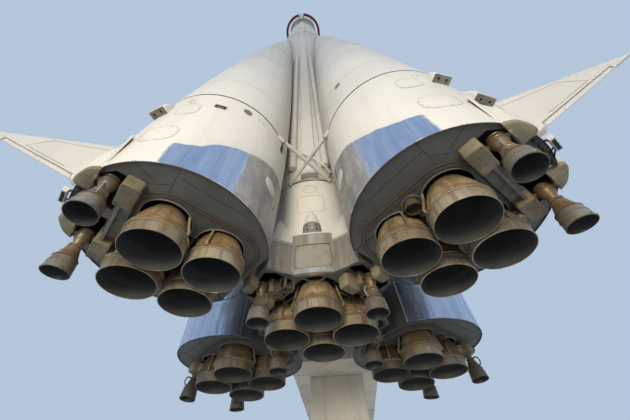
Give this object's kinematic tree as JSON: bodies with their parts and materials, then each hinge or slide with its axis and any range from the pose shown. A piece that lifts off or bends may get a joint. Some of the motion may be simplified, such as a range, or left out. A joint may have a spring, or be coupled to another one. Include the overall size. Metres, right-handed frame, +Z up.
{
  "type": "space rocket on its display support, 1:2 scale model",
  "caption": "Space rocket with strap-on boosters round a slim core, clustered main nozzles, gimballed steering nozzles, finned tails and rudders, held by a mast on a base slab, at half size.",
  "frame": {"origin": "on the underside of the base slab, straight below the rocket's axis", "axes": "+Z up along the rocket's axis; -Y to the front, the side away from the mast; +X to the right seen from the front"},
  "size_m": [3.6486, 6.6243, 21.045],
  "materials": {
    "cream_paint": "satin",
    "nozzle_steel": "matte",
    "bare_steel": "satin",
    "support_paint": "satin",
    "clamp_paint": "satin",
    "concrete": "matte"
  },
  "bodies": {
    "root": {"booster_tank_front_left": "cream_paint", "booster_tank_front_right": "cream_paint", "booster_tank_rear_right": "cream_paint", "booster_tank_rear_left": "cream_paint", "booster_tail_front_left": "cream_paint", "booster_tail_front_right": "cream_paint", "booster_tail_rear_right": "cream_paint", "booster_tail_rear_left": "cream_paint", "booster_engine_front_left": "nozzle_steel", "booster_engine_front_right": "nozzle_steel", "booster_engine_rear_right": "nozzle_steel", "booster_engine_rear_left": "nozzle_steel", "fin_front_left": "cream_paint", "fin_front_right": "cream_paint", "fin_rear_right": "cream_paint", "fin_rear_left": "cream_paint", "brace_front": "support_paint", "brace_right": "support_paint", "brace_rear": "support_paint", "brace_left": "support_paint", "core_tail": "cream_paint", "core_engine": "nozzle_steel", "core_tank": "cream_paint", "raceway": "cream_paint", "feed_pipe_left": "cream_paint", "feed_pipe_right": "cream_paint", "interstage_frame": "bare_steel", "upper_stage": "cream_paint", "payload_fairing": "cream_paint", "base_slab": "concrete", "front_column": "support_paint", "rear_column": "support_paint", "support_beam": "support_paint", "mast": "support_paint", "clamp_arm_left": "clamp_paint", "clamp_arm_right": "clamp_paint", "lower_cradle": "support_paint", "upper_cradle": "support_paint"},
    "steering_front_left_1": {"steering_nozzle_front_left_1": "nozzle_steel"},
    "steering_front_left_2": {"steering_nozzle_front_left_2": "nozzle_steel"},
    "steering_front_right_1": {"steering_nozzle_front_right_1": "nozzle_steel"},
    "steering_front_right_2": {"steering_nozzle_front_right_2": "nozzle_steel"},
    "steering_rear_right_1": {"steering_nozzle_rear_right_1": "nozzle_steel"},
    "steering_rear_right_2": {"steering_nozzle_rear_right_2": "nozzle_steel"},
    "steering_rear_left_1": {"steering_nozzle_rear_left_1": "nozzle_steel"},
    "steering_rear_left_2": {"steering_nozzle_rear_left_2": "nozzle_steel"},
    "core_steering_front_left": {"core_steering_nozzle_front_left": "nozzle_steel"},
    "core_steering_front_right": {"core_steering_nozzle_front_right": "nozzle_steel"},
    "core_steering_rear_right": {"core_steering_nozzle_rear_right": "nozzle_steel"},
    "core_steering_rear_left": {"core_steering_nozzle_rear_left": "nozzle_steel"},
    "rudder_body_front_left": {"rudder_front_left": "cream_paint"},
    "rudder_body_front_right": {"rudder_front_right": "cream_paint"},
    "rudder_body_rear_right": {"rudder_rear_right": "cream_paint"},
    "rudder_body_rear_left": {"rudder_rear_left": "cream_paint"}
  },
  "joints": [
    {"name": "steer_front_left_1", "type": "hinge", "parent": "root", "child": "steering_front_left_1", "pos_m": [-1.11051, -1.49942, 2.1285], "axis": [-0.7071, -0.7071, 0], "range_deg": [-50, 40]},
    {"name": "steer_front_left_2", "type": "hinge", "parent": "root", "child": "steering_front_left_2", "pos_m": [-1.49942, -1.11051, 2.1285], "axis": [-0.7071, -0.7071, 0], "range_deg": [-40, 50]},
    {"name": "steer_front_right_1", "type": "hinge", "parent": "root", "child": "steering_front_right_1", "pos_m": [1.49942, -1.11051, 2.1285], "axis": [0.7071, -0.7071, 0], "range_deg": [-50, 40]},
    {"name": "steer_front_right_2", "type": "hinge", "parent": "root", "child": "steering_front_right_2", "pos_m": [1.11051, -1.49942, 2.1285], "axis": [0.7071, -0.7071, 0], "range_deg": [-40, 50]},
    {"name": "steer_rear_right_1", "type": "hinge", "parent": "root", "child": "steering_rear_right_1", "pos_m": [1.11051, 1.49942, 2.1285], "axis": [0.7071, 0.7071, 0], "range_deg": [-50, 40]},
    {"name": "steer_rear_right_2", "type": "hinge", "parent": "root", "child": "steering_rear_right_2", "pos_m": [1.49942, 1.11051, 2.1285], "axis": [0.7071, 0.7071, 0], "range_deg": [-40, 50]},
    {"name": "steer_rear_left_1", "type": "hinge", "parent": "root", "child": "steering_rear_left_1", "pos_m": [-1.49942, 1.11051, 2.1285], "axis": [-0.7071, 0.7071, 0], "range_deg": [-50, 40]},
    {"name": "steer_rear_left_2", "type": "hinge", "parent": "root", "child": "steering_rear_left_2", "pos_m": [-1.11051, 1.49942, 2.1285], "axis": [-0.7071, 0.7071, 0], "range_deg": [-40, 50]},
    {"name": "core_steer_front_left", "type": "hinge", "parent": "root", "child": "core_steering_front_left", "pos_m": [-0.4225, -0.4225, 2.08], "axis": [-0.7071, -0.7071, 0], "range_deg": [-45, 45]},
    {"name": "core_steer_front_right", "type": "hinge", "parent": "root", "child": "core_steering_front_right", "pos_m": [0.4225, -0.4225, 2.08], "axis": [0.7071, -0.7071, 0], "range_deg": [-45, 45]},
    {"name": "core_steer_rear_right", "type": "hinge", "parent": "root", "child": "core_steering_rear_right", "pos_m": [0.4225, 0.4225, 2.08], "axis": [0.7071, 0.7071, 0], "range_deg": [-45, 45]},
    {"name": "core_steer_rear_left", "type": "hinge", "parent": "root", "child": "core_steering_rear_left", "pos_m": [-0.4225, 0.4225, 2.08], "axis": [-0.7071, 0.7071, 0], "range_deg": [-45, 45]},
    {"name": "rudder_hinge_front_left", "type": "hinge", "parent": "root", "child": "rudder_body_front_left", "pos_m": [-1.47785, -1.47785, 2.30218], "axis": [-0.7026, -0.7026, 0.1125], "range_deg": [-20, 20]},
    {"name": "rudder_hinge_front_right", "type": "hinge", "parent": "root", "child": "rudder_body_front_right", "pos_m": [1.47785, -1.47785, 2.30218], "axis": [0.7026, -0.7026, 0.1125], "range_deg": [-20, 20]},
    {"name": "rudder_hinge_rear_right", "type": "hinge", "parent": "root", "child": "rudder_body_rear_right", "pos_m": [1.47785, 1.47785, 2.30218], "axis": [0.7026, 0.7026, 0.1125], "range_deg": [-20, 20]},
    {"name": "rudder_hinge_rear_left", "type": "hinge", "parent": "root", "child": "rudder_body_rear_left", "pos_m": [-1.47785, 1.47785, 2.30218], "axis": [-0.7026, 0.7026, 0.1125], "range_deg": [-20, 20]}
  ]
}
